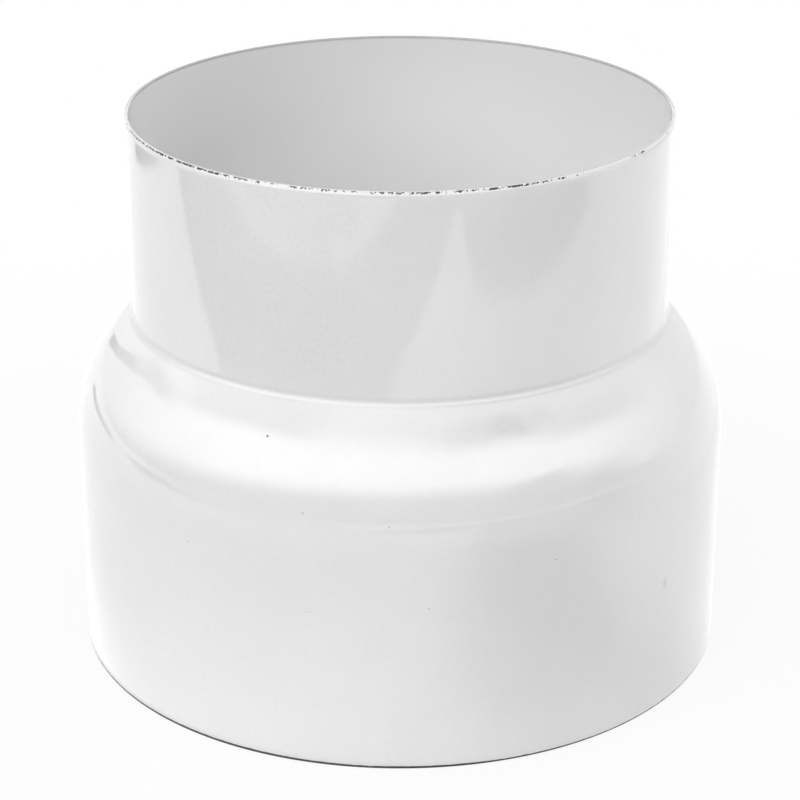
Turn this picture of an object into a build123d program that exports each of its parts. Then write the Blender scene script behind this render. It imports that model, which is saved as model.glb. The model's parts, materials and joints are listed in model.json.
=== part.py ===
"""Round duct reducer, drawn from one sheet of enamelled steel.

A wide socket stands at the bottom, a rolled shoulder draws it in, and a narrow spigot stands on top.
The wall is one even thickness all the way, and both rims are plain cut edges with eased corners.
The origin is the centre of the bottom rim, +Z runs up the axis, and lengths are in millimetres.
"""

import os
from math import acos, degrees

from build123d import *

# Driving dimensions
large_pipe = 150.0        # outside diameter of the pipe that goes up into the socket
reduction = 25.0          # how much smaller the pipe at the top is
slip_clearance = 0.2      # gap all round between a collar and its pipe
wall = 0.8                # sheet and the glaze on both its sides
socket_length = 52.0      # straight wall of the wide collar
spigot_length = 46.0      # straight wall of the narrow collar
shoulder_radius = 37.0    # outside radius of the rolled shoulder
throat_radius = 2.5       # outside radius of the hollow where the shoulder meets the spigot
edge_bevel = 0.25         # how far the corners of the cut edges are eased

# Outside radius of each collar: the socket slips over one pipe, the spigot slips into the other
small_pipe = large_pipe - reduction
socket_radius = large_pipe / 2 + slip_clearance + wall
spigot_radius = small_pipe / 2 - slip_clearance

# The shoulder and the throat are two arcs that meet on a common tangent, so the step between
# the collars sets how far each of them turns
step = socket_radius - spigot_radius
turn = degrees(acos(1 - step / (shoulder_radius + throat_radius)))

with BuildPart() as reducer:
    # Half section: the outside line from the bottom rim to the top one, then the wall inside it
    with BuildSketch(Plane.XZ):
        with BuildLine():
            socket = Line((socket_radius, 0), (socket_radius, socket_length))
            shoulder = JernArc(socket @ 1, socket % 1, shoulder_radius, turn)
            throat = JernArc(shoulder @ 1, shoulder % 1, throat_radius, -turn)
            Line(throat @ 1, throat @ 1 + (0, spigot_length))
            offset(amount=wall, side=Side.LEFT)
        make_face()
    revolve(axis=Axis.Z)

    # Both corners of each cut edge are eased
    rims = reducer.edges().filter_by(GeomType.CIRCLE).group_by(Axis.Z)
    chamfer(rims[0] + rims[-1], length=edge_bevel)

reducer.part.label = "reducer"

os.makedirs("parts", exist_ok=True)
export_step(reducer.part, "parts/reducer.step")

height = reducer.part.bounding_box().max.Z
print(f"height {height:.2f}, socket bore {2 * (socket_radius - wall):.2f}, spigot {2 * spigot_radius:.2f}")
print(f"shoulder turns {turn:.2f} degrees, volume {reducer.part.volume:.1f}")
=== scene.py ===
# %% [markdown]
# # A white enamelled duct reducer
# The part is one drawn steel shell: a wide socket below, a rolled shoulder, and a narrow spigot on top.
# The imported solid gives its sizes. This lesson models the shell again with a finer mesh, because a
# glossy white surface shows each facet, and then glazes it, lights it and sets up the camera.

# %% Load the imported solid
import json
from math import acos, cos, pi, radians, sin, tan

import bpy
from mathutils import Matrix, Vector


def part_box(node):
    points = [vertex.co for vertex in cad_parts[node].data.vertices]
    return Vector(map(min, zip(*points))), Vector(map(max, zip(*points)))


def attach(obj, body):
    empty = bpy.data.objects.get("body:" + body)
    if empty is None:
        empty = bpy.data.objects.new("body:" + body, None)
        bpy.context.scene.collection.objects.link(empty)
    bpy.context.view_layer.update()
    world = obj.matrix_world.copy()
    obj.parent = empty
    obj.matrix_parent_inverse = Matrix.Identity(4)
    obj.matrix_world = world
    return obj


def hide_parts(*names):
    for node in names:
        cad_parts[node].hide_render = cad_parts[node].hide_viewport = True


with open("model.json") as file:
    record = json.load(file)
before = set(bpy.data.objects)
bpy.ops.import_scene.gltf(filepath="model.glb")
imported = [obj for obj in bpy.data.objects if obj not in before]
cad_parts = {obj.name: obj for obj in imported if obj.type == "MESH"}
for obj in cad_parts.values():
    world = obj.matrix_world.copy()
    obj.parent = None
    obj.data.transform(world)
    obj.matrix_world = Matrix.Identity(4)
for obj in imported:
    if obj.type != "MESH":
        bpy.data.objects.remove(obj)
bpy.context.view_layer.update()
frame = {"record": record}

# %% [markdown]
# The record's mounts hold the two collars: the bore of the socket and the outside of the spigot.
# The wall, the straight lengths and the height follow from them and from the solid's own box. The bevel
# and the radii of the shoulder and the throat are written here as they are in the part's source. The
# shoulder and the throat are two arcs that meet on a common tangent, so the step between the collars
# sets how far each of them turns.

# %% Sizes of the shell, in metres
MM = 0.001
collars = {mount["name"]: mount["dims"] for mount in frame["record"]["mounts"]}
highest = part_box("reducer")[1]
HEIGHT = highest.z
SOCKET_RADIUS = highest.x
SPIGOT_RADIUS = collars["spigot"]["r_mm"] * MM
WALL = SOCKET_RADIUS - collars["socket"]["r_mm"] * MM
EDGE_BEVEL = 0.25 * MM
SHOULDER_RADIUS = 37.0 * MM
THROAT_RADIUS = 2.5 * MM
SOCKET_TOP = collars["socket"]["length_mm"] * MM + EDGE_BEVEL
SPIGOT_FOOT = HEIGHT - EDGE_BEVEL - collars["spigot"]["length_mm"] * MM
SHOULDER_TURN = acos(1 - (SOCKET_RADIUS - SPIGOT_RADIUS) / (SHOULDER_RADIUS + THROAT_RADIUS))
print(f"height {HEIGHT:.5f}, wall {WALL:.5f}, shoulder from {SOCKET_TOP:.5f} to {SPIGOT_FOOT:.5f}")

# %% [markdown]
# A lathe shape can be spun from its half section, or pulled up ring by ring from a circle. Ring by ring
# is chosen here: each ring is one extrude and one scale, and rings can be packed close where the wall
# turns and left wide apart where it runs straight. A ring close to each rim keeps the rim's shading
# from bleeding down the wall.

# %% The rings of the outside, from the bottom rim to the top one
RIM_RING = 0.8 * MM
COLLAR_STEPS = 6
SHOULDER_STEPS = 36
THROAT_STEPS = 16


def outside_rings():
    """(radius, height) of each ring."""
    rings = [(SOCKET_RADIUS, 0.0), (SOCKET_RADIUS, RIM_RING)]
    rings += [(SOCKET_RADIUS, SOCKET_TOP * step / COLLAR_STEPS) for step in range(1, COLLAR_STEPS + 1)]
    for step in range(1, SHOULDER_STEPS + 1):
        turned = SHOULDER_TURN * step / SHOULDER_STEPS
        rings.append((SOCKET_RADIUS - SHOULDER_RADIUS * (1 - cos(turned)),
                      SOCKET_TOP + SHOULDER_RADIUS * sin(turned)))
    for step in range(1, THROAT_STEPS + 1):
        left = SHOULDER_TURN * (1 - step / THROAT_STEPS)
        rings.append((SPIGOT_RADIUS + THROAT_RADIUS * (1 - cos(left)),
                      SPIGOT_FOOT - THROAT_RADIUS * sin(left)))
    spigot = HEIGHT - SPIGOT_FOOT
    rings += [(SPIGOT_RADIUS, SPIGOT_FOOT + spigot * step / COLLAR_STEPS) for step in range(1, COLLAR_STEPS)]
    return rings + [(SPIGOT_RADIUS, HEIGHT - RIM_RING), (SPIGOT_RADIUS, HEIGHT)]


rings = outside_rings()
print(len(rings), "rings")

# %% Pull the shell up ring by ring
SEGMENTS = 384


def start_ring(name, radius):
    """A circle at the floor, alone selected, in edit mode."""
    bpy.ops.object.select_all(action="DESELECT")
    bpy.ops.mesh.primitive_circle_add(vertices=SEGMENTS, radius=radius, location=(0, 0, 0))
    bpy.context.object.name = name
    bpy.ops.object.mode_set(mode="EDIT")
    bpy.ops.mesh.select_all(action="SELECT")
    return bpy.context.object


shell = start_ring("enamelled_shell", SOCKET_RADIUS)
for (wide, level), (next_wide, next_level) in zip(rings, rings[1:]):
    rise = (0, 0, next_level - level)
    bpy.ops.mesh.extrude_region_move(TRANSFORM_OT_translate={"value": rise})
    narrowing = next_wide / wide
    bpy.ops.transform.resize(value=(narrowing, narrowing, 1), center_override=(0, 0, next_level))
bpy.ops.mesh.select_all(action="SELECT")
bpy.ops.mesh.normals_make_consistent(inside=False)
bpy.ops.object.mode_set(mode="OBJECT")
print("outside has", len(shell.data.polygons), "faces")

# %% [markdown]
# The real part is one sheet, so its wall is equally thick everywhere. An inside could be pulled up in the
# same way as the outside, but Solidify gives an even wall in one step, measured inwards. Only the cut rims
# have corners sharp enough for the bevel's angle limit, so the bevel eases them and leaves the rest alone.

# %% Give the sheet its wall and ease the corners of the rims
CORNER_SEGMENTS = 3
RIM_CORNER = radians(60)


def finish_wall(piece):
    """Thickens the sheet inwards and bevels the sharp corners of its two rims."""
    wall = piece.modifiers.new("wall", "SOLIDIFY")
    wall.thickness = WALL
    wall.offset = -1
    wall.use_even_offset = True
    bpy.ops.object.modifier_apply(modifier=wall.name)
    corners = piece.modifiers.new("corners", "BEVEL")
    corners.width = EDGE_BEVEL
    corners.segments = CORNER_SEGMENTS
    corners.limit_method = "ANGLE"
    corners.angle_limit = RIM_CORNER
    bpy.ops.object.modifier_apply(modifier=corners.name)
    bpy.ops.object.shade_smooth_by_angle(angle=RIM_CORNER)


finish_wall(shell)
print("shell has", sum(len(face.vertices) - 2 for face in shell.data.polygons), "triangles")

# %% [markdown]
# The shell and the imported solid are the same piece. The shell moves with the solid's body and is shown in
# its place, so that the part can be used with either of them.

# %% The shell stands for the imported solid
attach(shell, "root")
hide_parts("reducer")
print(shell.name, "stands for the solid")


# %% [markdown]
# Shader maths reads best as plain arithmetic. A Signal wraps one socket, and each operator on it adds a
# Math node, so a mask is written as a formula. Every other node comes from Painter.node, which takes the
# node's type, its settings, and what goes into its sockets.

# %% A value that changes over a surface
SQUARE_ROOT = 0.5


class Signal:
    """A number, colour or vector that changes over a surface. Operators on it add Math nodes."""

    def __init__(self, painter, socket):
        self.painter = painter
        self.socket = socket

    def math(self, operation, *values):
        return self.painter.node("ShaderNodeMath", {"operation": operation}, dict(enumerate(values)))(0)

    def __add__(self, other):
        return self.math("ADD", self, other)

    def __sub__(self, other):
        return self.math("SUBTRACT", self, other)

    def __rsub__(self, other):
        return self.math("SUBTRACT", other, self)

    def __mul__(self, other):
        return self.math("MULTIPLY", self, other)

    def __truediv__(self, other):
        return self.math("DIVIDE", self, other)

    def __pow__(self, other):
        return self.math("POWER", self, other)

    __radd__ = __add__
    __rmul__ = __mul__

    def either(self, other):
        """The larger of two masks."""
        return self.math("MAXIMUM", self, other)

    def at_most(self, limit):
        """The same value, but no larger than the limit."""
        return self.math("MINIMUM", self, limit)

    def rises(self, low, high):
        """0 below low, 1 above high, and a smooth step between; with low above high it falls instead."""
        edges = {"Value": self, "From Min": low, "From Max": high}
        return self.painter.node("ShaderNodeMapRange", {"interpolation_type": "SMOOTHSTEP"}, edges)("Result")


print("signals")


# %% A painter that adds nodes
class Painter:
    """Adds nodes to one material or world and links them."""

    def __init__(self, owner):
        self.owner = owner
        owner.use_nodes = True
        self.tree = owner.node_tree

    def feed(self, socket, value):
        """A signal is linked to the socket, and anything else is set on it."""
        if isinstance(value, Signal):
            self.tree.links.new(value.socket, socket)
        else:
            socket.default_value = value

    def node(self, kind, settings=None, values=None):
        """A new node; the result gives a signal for each output asked for."""
        made = self.tree.nodes.new(kind)
        for name, setting in (settings or {}).items():
            setattr(made, name, setting)
        for name, value in (values or {}).items():
            self.feed(made.inputs[name], value)
        return lambda output: Signal(self, made.outputs[output])

    def fill(self, name, values):
        """Sockets of a node that is already there."""
        for socket, value in values.items():
            self.feed(self.tree.nodes[name].inputs[socket], value)

    def parts(self, vector):
        """A vector taken apart: X, Y and Z are asked for by name."""
        return self.node("ShaderNodeSeparateXYZ", None, {"Vector": vector})

    def where(self, kind):
        """Texture coordinates of that kind."""
        return self.node("ShaderNodeTexCoord")(kind)

    def grain(self, place, size, detail=2.0, seed=0.0):
        """Noise from 0 to 1 with lumps of that size in metres."""
        values = {"Vector": place, "W": seed, "Scale": 1 / size, "Detail": detail}
        return self.node("ShaderNodeTexNoise", {"noise_dimensions": "4D"}, values)("Fac")

    def blend(self, factor, first, second):
        """A colour between two colours."""
        mixed = {"Factor": factor, 6: first, 7: second}
        return self.node("ShaderNodeMix", {"data_type": "RGBA"}, mixed)(2)


print("painter")

# %% [markdown]
# Vitreous enamel is white glass fired onto the steel over a black ground coat. The white is opaque and
# glossy and a little cloudy, where the glass lies thicker or thinner. A painted picture could show the
# clouds, but noise needs no picture and has no seam. Noise in Object coordinates stays with the part.

# %% Places on the surface that the enamel's pattern follows
INSIDE_FROM = SPIGOT_RADIUS - 0.3 * MM
INSIDE_FULL = SPIGOT_RADIUS - 0.5 * MM
enamel = Painter(bpy.data.materials.new("white_enamel"))
place = enamel.where("Object")
axes = enamel.parts(place)
across, along, height = axes("X"), axes("Y"), axes("Z")
radius = (across * across + along * along) ** SQUARE_ROOT
inside = radius.rises(INSIDE_FROM, INSIDE_FULL)
below_top = HEIGHT - height
print("the pattern follows", len(enamel.tree.nodes), "nodes")

# %% Cloudy white, and painted light that whitens the inside deeper down
WHITE_THICK = (0.880, 0.880, 0.877, 1)
WHITE_THIN = (0.835, 0.837, 0.838, 1)
WHITE_INSIDE = (0.880, 0.880, 0.878, 1)
WHITE_DEEP_PAINTED_LIGHT = (0.950, 0.950, 0.948, 1)
CLOUD_SIZE = 26 * MM
SPECKLE_SIZE = 0.7 * MM
CLOUD_SHARE = 0.6
THIN_STEP = (0.30, 0.70)
PAINTED_LIGHT_DEPTH_STEP = (2 * MM, 38 * MM)
clouds = enamel.grain(place, CLOUD_SIZE, detail=3)
speckle = enamel.grain(place, SPECKLE_SIZE, detail=2, seed=3)
thin = (CLOUD_SHARE * clouds + (1 - CLOUD_SHARE) * speckle).rises(*THIN_STEP)
white_outside = enamel.blend(thin, WHITE_THICK, WHITE_THIN)
# Painted light: the inside is painted whiter the deeper it goes. This stands in for light that the lamps do
# not bring down the bore.
inside_white_painted_light = enamel.blend(below_top.rises(*PAINTED_LIGHT_DEPTH_STEP), WHITE_INSIDE, WHITE_DEEP_PAINTED_LIGHT)
white = enamel.blend(inside, white_outside, inside_white_painted_light)
print("whites from", WHITE_THIN[0], "to", WHITE_DEEP_PAINTED_LIGHT[0])

# %% [markdown]
# The skin of the glass ripples like the peel of an orange, with broader waves where the glass ran before
# it set. Under the top rim it drew together into a rounded bead. All of this is in the glaze and thinner
# than the sheet, so it goes into a Bump node and not into the mesh.

# %% A skin that ripples
PEEL_SIZE = 1.6 * MM
PEEL_HEIGHT = 0.003 * MM
RUN_SIZE = 11 * MM
RUN_HEIGHT = 0.030 * MM
BEAD_REACH = 1.7 * MM
BEAD_HEIGHT = 0.40 * MM
peel = enamel.grain(place, PEEL_SIZE, detail=1, seed=1)
runs = enamel.grain(place, RUN_SIZE, detail=1, seed=2)
bead = (1 - (below_top / BEAD_REACH).at_most(1.0)) ** 2
relief = PEEL_HEIGHT * peel + RUN_HEIGHT * runs - BEAD_HEIGHT * bead * (1 - inside)
skin = enamel.node("ShaderNodeBump", None, {"Distance": 1.0, "Height": relief})("Normal")
print(f"ripples {PEEL_HEIGHT:.6f} and {RUN_HEIGHT:.6f} high, bead {BEAD_HEIGHT:.5f}")

# %% [markdown]
# Along a cut edge the white glass draws back as it melts, and the black ground coat shows. On the top
# rim it shows in ragged dashes on the outer corner, more of them on some stretches than on others. At the
# back there are few, and there the rim's face and the top of its inner wall are painted grey. On the bottom
# rim the black is an almost unbroken line. Dashes could be drawn one by one; here each mask is a depth from
# the edge compared with noise, which leaves their ends as ragged as the real ones.

# %% Stretches of a rim
def facing(degrees):
    """1 on the side that faces that way round from the front, and -1 on the far side."""
    angle = radians(degrees)
    return (across * sin(angle) - along * cos(angle)) / radius


def around(degrees, half, soft):
    """1 within half so many degrees of a direction round from the front, with soft ends."""
    return facing(degrees).rises(cos(radians(half + soft)), cos(radians(half - soft)))


def add_stretches(level, stretches):
    """The level, raised or lowered by an amount on each stretch."""
    for degrees, half, soft, amount in stretches:
        level = level + amount * around(degrees, half, soft)
    return level


DASH_SIZE = 1.1 * MM
DOT_SIZE = 0.4 * MM
dashes = enamel.grain(place, DASH_SIZE, detail=2, seed=5)
dots = enamel.grain(place, DOT_SIZE, detail=1, seed=6)
print("dashes of", DASH_SIZE, "and dots of", DOT_SIZE)

# %% Black dashes on the top rim, and grey painted on its far side
BACK = (180, 86, 10)
# direction round from the front, half width and soft end in degrees, and how much more black shows there
TOP_STRETCHES = [
    (-20, 52, 6, 0.10),
    (-56, 16, 4, 0.06),
    (28, 12, 3, 0.03),
    (56, 4, 1.5, 0.08),
    (46, 5, 1.5, -0.25),
    (6, 14, 4, 0.04),
    (*BACK, -0.4),
    (-118, 24, 10, 0.5),
]
DASH_SHARE = 0.55
RAGGED_STEP = (0.58, 0.69)
TOP_WEAR = 0.52 * MM
TOP_SOFT = 0.15
TOP_LEVELS = (120 * MM, 125 * MM)
CORNER_WIDTH = 0.23 * MM
CORNER_FADE = 0.12 * MM
worn = add_stretches(DASH_SHARE * dashes + (1 - DASH_SHARE) * dots, TOP_STRETCHES)
top_depth = worn.rises(*RAGGED_STEP) - below_top / TOP_WEAR
top_outer = (radius - SPIGOT_RADIUS + CORNER_WIDTH).rises(0.0, CORNER_FADE)
top_black = top_depth.rises(0.0, TOP_SOFT) * top_outer * height.rises(*TOP_LEVELS)

RIM_GREY = (0.40, 0.40, 0.40, 1)
RIM_SHARE = 0.90
RIM_FACE = 0.20 * MM
RIM_LINE = 0.80 * MM
on_rim = inside.either(below_top.rises(RIM_FACE, RIM_FACE / 2))
back_rim = around(*BACK) * below_top.rises(RIM_LINE, RIM_FACE) * on_rim
white = enamel.blend(RIM_SHARE * back_rim, white, RIM_GREY)
print(len(TOP_STRETCHES), "stretches on the top rim")

# %% A black line along the bottom rim
BOTTOM_DEPTH = 0.42 * MM
BOTTOM_SWING = 0.22 * MM
BOTTOM_DEEPEST = -38
BOTTOM_RAGGED = 0.25 * MM
BOTTOM_STRETCHES = [
    (-28, 22, 10, 0.08 * MM),
    (6, 8, 4, 0.10 * MM),
]
BOTTOM_SOFT = 0.08 * MM
NOISE_MIDDLE = 0.5
bottom_depth = BOTTOM_DEPTH + BOTTOM_SWING * facing(BOTTOM_DEEPEST) + BOTTOM_RAGGED * (dashes - NOISE_MIDDLE)
bottom_depth = add_stretches(bottom_depth, BOTTOM_STRETCHES)
bottom_outer = radius.rises(SOCKET_RADIUS - CORNER_WIDTH, SOCKET_RADIUS - CORNER_WIDTH / 2)
bottom_black = (bottom_depth - height).rises(0.0, BOTTOM_SOFT) * bottom_outer
edges_black = top_black.either(bottom_black)
print("bottom line about", BOTTOM_DEPTH, "deep")

# %% [markdown]
# The crease under the spigot is painted a little grey as shade, and its glaze is made duller there. On the
# front left of the spigot fine grey specks are painted reflection: they stand in for the speckled gloss of
# the rippled glaze. Both are a little grey blended into the white.

# %% Painted shade in the crease, and painted reflection specks above it
PAINTED_GREY = (0.55, 0.55, 0.55, 1)
HOLLOW_GLOSS = 0.20
CREASE_SHADE_SHARE = 0.19
HOLLOW_BOTTOM = (-2.2 * MM, -1.2 * MM)
HOLLOW_TOP = (0.6 * MM, -0.2 * MM)
above_foot = height - SPIGOT_FOOT
# Painted shade: a grey line along the crease under the spigot.
crease_shade = above_foot.rises(*HOLLOW_BOTTOM) * above_foot.rises(*HOLLOW_TOP) * (1 - inside)
white = enamel.blend(CREASE_SHADE_SHARE * crease_shade, white, PAINTED_GREY)

REFLECTION_SPECK_SIZE = 0.6 * MM
REFLECTION_SPECK_STEP = (0.48, 0.70)
REFLECTION_SPECK_STRETCH = (-28, 20, 16)
REFLECTION_SPECK_LEVELS = (80 * MM, 88 * MM)
REFLECTION_SPECK_SHARE = 0.11
# Painted reflection: fine grey specks on the front left of the spigot stand in for the speckled gloss of the
# rippled glaze.
reflection_specks = enamel.grain(place, REFLECTION_SPECK_SIZE, detail=1, seed=9).rises(*REFLECTION_SPECK_STEP)
reflection_specks = reflection_specks * around(*REFLECTION_SPECK_STRETCH) * (1 - inside) * height.rises(*REFLECTION_SPECK_LEVELS)
white = enamel.blend(REFLECTION_SPECK_SHARE * reflection_specks, white, PAINTED_GREY)
print("hollow and pits")

# %% [markdown]
# A few specks of dirt were fired into the glaze. Handling left a hairline under the rim, a rubbed spot and a
# short scratch. A faint dark spot on the shoulder is painted reflection. Each is a dot or a streak at its
# own place on the wall, so a short list of places and sizes is enough.

# %% Marks in the glaze, and a painted reflection spot
# angle round from the front in degrees, then height, half width and half height in mm, then strength
MARKS = [
    (-24.1, 73.8, 0.34, 0.28, 0.95),
    (-37.4, 47.7, 0.20, 0.20, 0.60),
    (-1.7, 58.3, 0.20, 0.20, 0.60),
    (-15.9, 60.2, 0.20, 0.20, 0.60),
    (26.1, 47.2, 0.20, 0.20, 0.60),
    (4.6, 39.3, 0.20, 0.20, 0.60),
    (2.0, 126.4, 0.14, 0.90, 0.12),
    (51.5, 31.0, 1.00, 1.90, 0.14),
    (-15.0, 37.3, 1.90, 0.16, 0.12),
]
PAINTED_REFLECTION_SPOT = (22.5, 76.3, 10.0, 3.0)
PAINTED_SPOT_SIZE = 6 * MM
PAINTED_SPOT_STEP = (0.25, 0.70)
PAINTED_SPOT_SHARE = 0.11
SAME_SIDE = SPIGOT_RADIUS / 2


def streak(degrees, level, half_width, half_height):
    """1 in an oval at that angle and height on the outside, fading to 0 at its rim; sizes in mm."""
    angle = radians(degrees)
    sideways = (across * cos(angle) + along * sin(angle)) / (half_width * MM)
    upward = (height - level * MM) / (half_height * MM)
    outward = (across * sin(angle) - along * cos(angle)).rises(0.0, SAME_SIDE)
    return (sideways ** 2 + upward ** 2).rises(1.0, 0.0) * outward


marks_and_painted_spot = edges_black
for *oval, strength in MARKS:
    marks_and_painted_spot = marks_and_painted_spot.either(strength * streak(*oval))
# Painted reflection: a faint dark spot on the right of the shoulder stands in for a dark reflection there.
painted_spot = enamel.grain(place, PAINTED_SPOT_SIZE, detail=2, seed=8).rises(*PAINTED_SPOT_STEP)
marks_and_painted_spot = marks_and_painted_spot.either(PAINTED_SPOT_SHARE * painted_spot * streak(*PAINTED_REFLECTION_SPOT))
print(len(MARKS), "marks and a smear")

# %% [markdown]
# One Principled shader takes all of it. The marks, the edges and the painted reflection spot share the black
# of the ground coat, which is duller than the white, and the skin bends the gloss of all of them.

# %% Put the enamel together
GROUND_BLACK = (0.012, 0.012, 0.013, 1)
ENAMEL_GLOSS = 0.07
BLACK_GLOSS = 0.35
GLASS_IOR = 1.6
colour = enamel.blend(marks_and_painted_spot, white, GROUND_BLACK)
gloss = ENAMEL_GLOSS + (BLACK_GLOSS - ENAMEL_GLOSS) * marks_and_painted_spot + HOLLOW_GLOSS * crease_shade
finish = {"Base Color": colour, "Roughness": gloss, "Normal": skin, "IOR": GLASS_IOR}
enamel.fill("Principled BSDF", finish)
shell.data.materials.clear()
shell.data.materials.append(enamel.owner)
print("enamel has", len(enamel.tree.nodes), "nodes")

# %% [markdown]
# The studio is a white floor and a white surround. Light Path tells what kind of ray looks at them: the
# camera and reflections see plain white, and the light that falls on the part comes from the lamps. Near
# the part the floor's white is mixed with its real shading, so that the part's soft shadow stays.

# %% White floor
FLOOR_SIZE = 8
FLOOR_WHITE = (0.80, 0.80, 0.80, 1)
FLOOR_GLOW = 0.88
FLOOR_STEP = (0.10, 0.30)
scene = bpy.context.scene
scene.view_settings.view_transform = "Standard"


def seen(painter):
    """1 for rays from the camera, off a reflection or through glass."""
    path = painter.node("ShaderNodeLightPath")
    return path("Is Camera Ray").either(path("Is Glossy Ray")).either(path("Is Transmission Ray"))


bpy.ops.object.select_all(action="DESELECT")
bpy.ops.mesh.primitive_plane_add(size=FLOOR_SIZE)
floor = bpy.context.object
floor.name = "floor"
paper = Painter(bpy.data.materials.new("white_floor"))
paper.fill("Principled BSDF", {"Base Color": FLOOR_WHITE, "Roughness": 1.0, "Specular IOR Level": 0.0})
shaded = Signal(paper, paper.tree.nodes["Principled BSDF"].outputs[0])
glow = paper.node("ShaderNodeEmission", None, {"Strength": 1.0})(0)
on_floor = paper.parts(paper.where("Object"))
distance = (on_floor("X") * on_floor("X") + on_floor("Y") * on_floor("Y")) ** SQUARE_ROOT
far_off = distance.rises(*FLOOR_STEP)
share = (FLOOR_GLOW + (1 - FLOOR_GLOW) * far_off) * seen(paper)
mixed = paper.node("ShaderNodeMixShader", None, {0: share, 1: shaded, 2: glow})(0)
paper.fill("Material Output", {"Surface": mixed})
paper.owner.cycles.emission_sampling = "NONE"
floor.data.materials.append(paper.owner)
print("floor of", FLOOR_SIZE, "metres")

# %% White surround
surround = Painter(bpy.data.worlds.new("white_surround"))
scene.world = surround.owner
scene.world.cycles.sampling_method = "NONE"
surround.fill("Background", {"Color": (1, 1, 1, 1), "Strength": seen(surround)})
print("surround")

# %% [markdown]
# The light is soft and comes from all round, more of it from the front left. A sky picture could give such
# light in one step, but lamps can be moved and turned down one by one. They are kept out of the gloss,
# where their hard outlines would show.

# %% Soft lamps
MIDDLE = Vector((0, 0, 0.065))
# place, width and height in metres, and brightness, where white paper is 1
SOFTBOXES = {
    "key": ((-0.75, -0.85, 0.70), 1.2, 0.8, 1.75),
    "front_right": ((0.70, -0.90, 0.55), 0.9, 0.6, 1.5),
    "front_top": ((-0.25, -0.60, 1.05), 0.8, 0.5, 2.0),
    "right_low": ((1.0, 0.0, 0.18), 1.2, 0.30, 1.9),
    "top": ((0, 0, 1.2), 1.0, 0.9, 2.4),
    "top_left": ((-0.7, -0.1, 0.9), 0.7, 0.7, 1.45),
    "back_left": ((-0.7, 0.8, 0.6), 0.8, 0.6, 1.0),
    "back_right": ((0.7, 0.8, 0.6), 0.8, 0.6, 2.4),
}


def softbox(name, spot, width, tall, brightness):
    """A soft lamp that looks at the part, as bright as white paper times brightness."""
    lamp = bpy.data.lights.new(name, "AREA")
    lamp.shape = "RECTANGLE"
    lamp.size = width
    lamp.size_y = tall
    lamp.energy = pi * width * tall * brightness
    holder = bpy.data.objects.new(name, lamp)
    scene.collection.objects.link(holder)
    holder.location = spot
    holder.rotation_euler = (MIDDLE - Vector(spot)).to_track_quat("-Z", "Y").to_euler()
    holder.visible_camera = False
    holder.visible_glossy = False


for name, lamp_values in SOFTBOXES.items():
    softbox(name, *lamp_values)
print(len(SOFTBOXES), "lamps")

# %% [markdown]
# A gloss as clear as enamel shows whatever stands round it. So cards of white, grey and black are put round
# the part, as a product photographer does, and only reflections see them. Each fades out at its edges,
# because a soft edge in the gloss is what tells a rounded wall from a flat one.

# %% What only the gloss sees
HIDDEN_FROM = ("camera", "diffuse", "transmission", "volume_scatter", "shadow")


def show_in_gloss(made, name, shade, mask):
    """Only reflections see the thing: of that shade where the mask is 1, and not at all where it is 0."""
    made.name = name
    for kind in HIDDEN_FROM:
        setattr(made, "visible_" + kind, False)
    felt = Painter(bpy.data.materials.new(name))
    clear = felt.node("ShaderNodeBsdfTransparent")(0)
    tint = felt.node("ShaderNodeEmission", None, {"Strength": shade})(0)
    mixed = felt.node("ShaderNodeMixShader", None, {0: mask(felt), 1: clear, 2: tint})(0)
    felt.fill("Material Output", {"Surface": mixed})
    felt.owner.cycles.emission_sampling = "NONE"
    made.data.materials.append(felt.owner)


def room(name, radius, shade):
    """A white room all round."""
    bpy.ops.object.select_all(action="DESELECT")
    bpy.ops.mesh.primitive_uv_sphere_add(segments=64, ring_count=32, radius=radius)
    show_in_gloss(bpy.context.object, name, shade, lambda felt: 1.0)


room("bright_room", radius=2.0, shade=1.15)
print("room")

# %% Bands bent round the part
HOOP_SIDES = 128
# radius in metres, tilt and swing, low and high end, shade, where the fade from each of those ends is over,
# and where the band starts and is full on the left and on the right; all angles in degrees
HOOPS = {
    "bright_band": (0.9, 13, 0, -3, 46, 3.7, -1, 18, (-125, -45), (125, 45)),
    "dark_skirt": (0.8, 11.8, 7, -20, 10, 0.35, -19.9, -3, (-140, -115), (84, 62)),
    "near_sill": (0.150, 0, 0, -18, -7.5, 1.3, -17, -9.5, (-175, -115), (22, 8)),
    "near_shade": (0.152, 0, 0, -19, -6, 0.5, -15, -10, (0, 25), (75, 45)),
}


def hoop(name, radius, tilt, swing, low, high, shade, full_low, full_high, left, right):
    """A band bent round the part and tilted up at the front. Angles are seen from the part."""
    foot, head = radius * tan(radians(low)), radius * tan(radians(high))
    bpy.ops.object.select_all(action="DESELECT")
    bpy.ops.mesh.primitive_cylinder_add(vertices=HOOP_SIDES, radius=radius, depth=head - foot,
                                        end_fill_type="NOTHING")
    bpy.ops.transform.translate(value=(0, 0, (head + foot) / 2))
    bpy.ops.object.transform_apply(location=True)
    bpy.ops.transform.rotate(value=radians(tilt), orient_axis="X", center_override=(0, 0, 0))
    bpy.ops.transform.rotate(value=-radians(swing), orient_axis="Z", center_override=(0, 0, 0))
    bpy.ops.transform.translate(value=MIDDLE)

    def mask(felt):
        axes = felt.parts(felt.where("Object"))
        up = axes("Z") / radius
        there = up.rises(tan(radians(low)), tan(radians(full_low)))
        there = there * up.rises(tan(radians(high)), tan(radians(full_high)))
        ahead = -1 * axes("Y")
        sides = ahead.math("ARCTAN2", axes("X"), ahead)
        for start, full in (left, right):
            there = there * sides.rises(radians(start), radians(full))
        return there

    show_in_gloss(bpy.context.object, name, shade, mask)


for name, hoop_values in HOOPS.items():
    hoop(name, *hoop_values)
print(len(HOOPS), "bands")

# %% Cards on the floor
LIFT = 0.2 * MM
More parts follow.
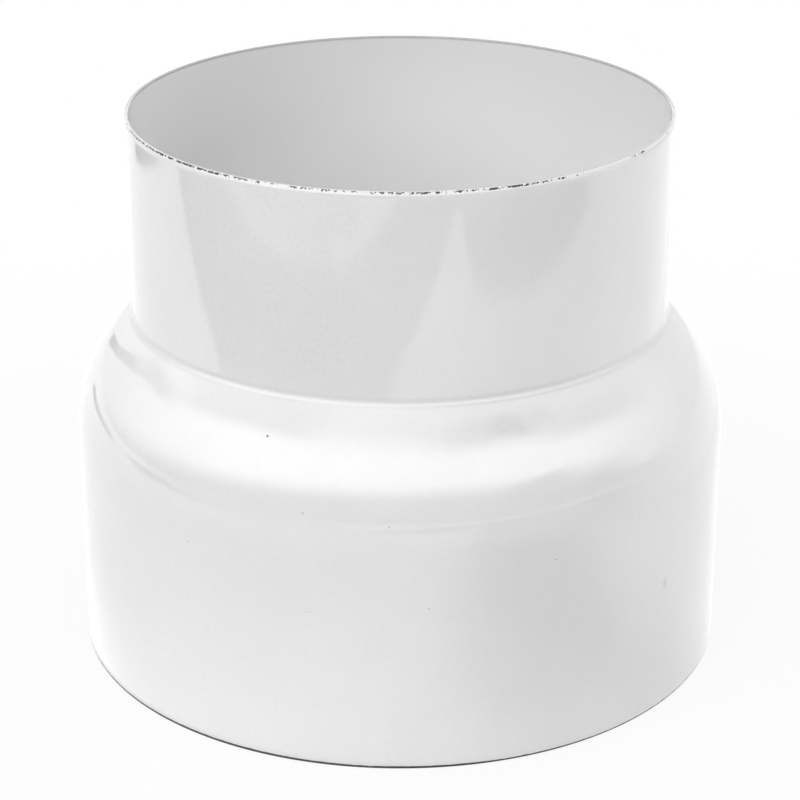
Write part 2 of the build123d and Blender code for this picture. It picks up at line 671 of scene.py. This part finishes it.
# place across and along in mm, layer, turn in degrees, width and depth in mm, shade, soft share of an edge
FLOOR_CARDS = {
    "far_floor": (-452, -310, 12, -36, 700, 300, 0.7, 0.05),
    "left_sheet": (-500, 0, 1, 0, 1000, 2000, 1.3, 0.001),
    "right_half": (500, 0, 2, 0, 1000, 2000, 1.22, 0.001),
    "right_sheet": (480, 330, 3, 0, 620, 780, 1.38, 0.03),
    "wedge_sheet": (95, -310, 4, -12, 150, 260, 1.31, 0.08),
    "right_dark_far": (245, -400, 5, 0, 170, 200, 0.3, 0.03),
    "right_dark": (354, -263, 6, 42, 360, 220, 0.25, 0.10),
    "base_glow": (-30, -75, 7, -20, 240, 170, 2.55, 0.5),
    "shadow": (95, -132, 8, 38, 165, 235, 0.0, 0.4),
    "front_strip": (-15, -350, 9, -37.4, 520, 134, 0.15, 0.05),
    "left_strip": (-317, -124, 10, -36, 520, 160, 0.1, 0.03),
    "back_left_bag": (-389, 241, 11, 51, 225, 115, 0.15, 0.12),
}


def card(name, spot, turn, width, tall, shade, soft):
    """A flat card; soft is the share of its width over which each edge fades."""
    bpy.ops.object.select_all(action="DESELECT")
    bpy.ops.mesh.primitive_plane_add(size=1, location=spot, rotation=turn)
    bpy.context.object.scale = (width, tall, 1)

    def mask(felt):
        spread = felt.parts(felt.where("UV"))
        there = 1.0
        for along_edge in (spread("X"), spread("Y")):
            there = there * along_edge.rises(0.0, soft) * (1 - along_edge).rises(0.0, soft)
        return there

    show_in_gloss(bpy.context.object, name, shade, mask)


def floor_card(name, across_mm, along_mm, layer, turned, width_mm, deep_mm, shade, soft):
    """A card that lies on the floor, on the layers below it."""
    spot = (across_mm * MM, along_mm * MM, layer * LIFT)
    card(name, spot, (0, 0, radians(turned)), width_mm * MM, deep_mm * MM, shade, soft)


for name, card_values in FLOOR_CARDS.items():
    floor_card(name, *card_values)
print(len(FLOOR_CARDS), "cards on the floor")

# %% Cards up in the air
# start and end of the middle line in mm, width in mm, shade, soft share of an edge
STRIPS = {
    "stand_leg": ((-512, 771, 38), (-777, 440, 358), 40, 0.1, 0.05),
    "stand_arm": ((-634, 671, 155), (-745, 470, 385), 60, 0.1, 0.1),
    "stand_head": ((-770, 443, 352), (-770, 360, 460), 70, 0.0, 0.2),
    "high_right_flag": ((40, -690, 740), (690, -130, 690), 420, 0.0, 0.45),
    "side_right_flag": ((560, -580, 720), (850, 400, 430), 420, 0.45, 0.45),
    "right_arrow": ((383, -661, 157), (670, -333, 241), 160, 0.2, 0.4),
    "high_left_flag": ((-277, -542, 845), (-762, 258, 556), 480, 0.4, 0.3),
    "low_left_flag": ((-846, 46, 502), (-684, 546, 416), 220, 0.1, 0.4),
}


def strip_card(name, start, end, width_mm, shade, soft):
    """A thin card up in the air that faces the part; start and end are places in millimetres."""
    start, end = Vector(start) * MM, Vector(end) * MM
    run = (end - start).normalized()
    middle = (start + end) / 2
    side = (MIDDLE - middle).cross(run).normalized()
    turn = Matrix((run, side, run.cross(side))).transposed().to_euler()
    card(name, middle, turn, (end - start).length, width_mm * MM, shade, soft)


for name, strip_values in STRIPS.items():
    strip_card(name, *strip_values)
print(len(STRIPS), "cards in the air")

# %% [markdown]
# The camera looks down a little over twenty degrees through a long lens, as the photograph does. A long
# lens keeps the collars' sides nearly upright.

# %% Camera
SENSOR = 36.0
FOCAL_PIXELS = 2551.1
FRAME_PIXELS = 800
CAMERA_PLACE = (0.0, -0.5589, 0.2917)
CAMERA_PITCH = radians(22.906)
camera_data = bpy.data.cameras.new("photo_camera")
camera_data.sensor_width = SENSOR
camera_data.lens = FOCAL_PIXELS * SENSOR / FRAME_PIXELS
camera = bpy.data.objects.new("photo_camera", camera_data)
scene.collection.objects.link(camera)
camera.location = CAMERA_PLACE
camera.rotation_euler = (pi / 2 - CAMERA_PITCH, 0, 0)
scene.camera = camera
print("lens", round(camera_data.lens, 1))
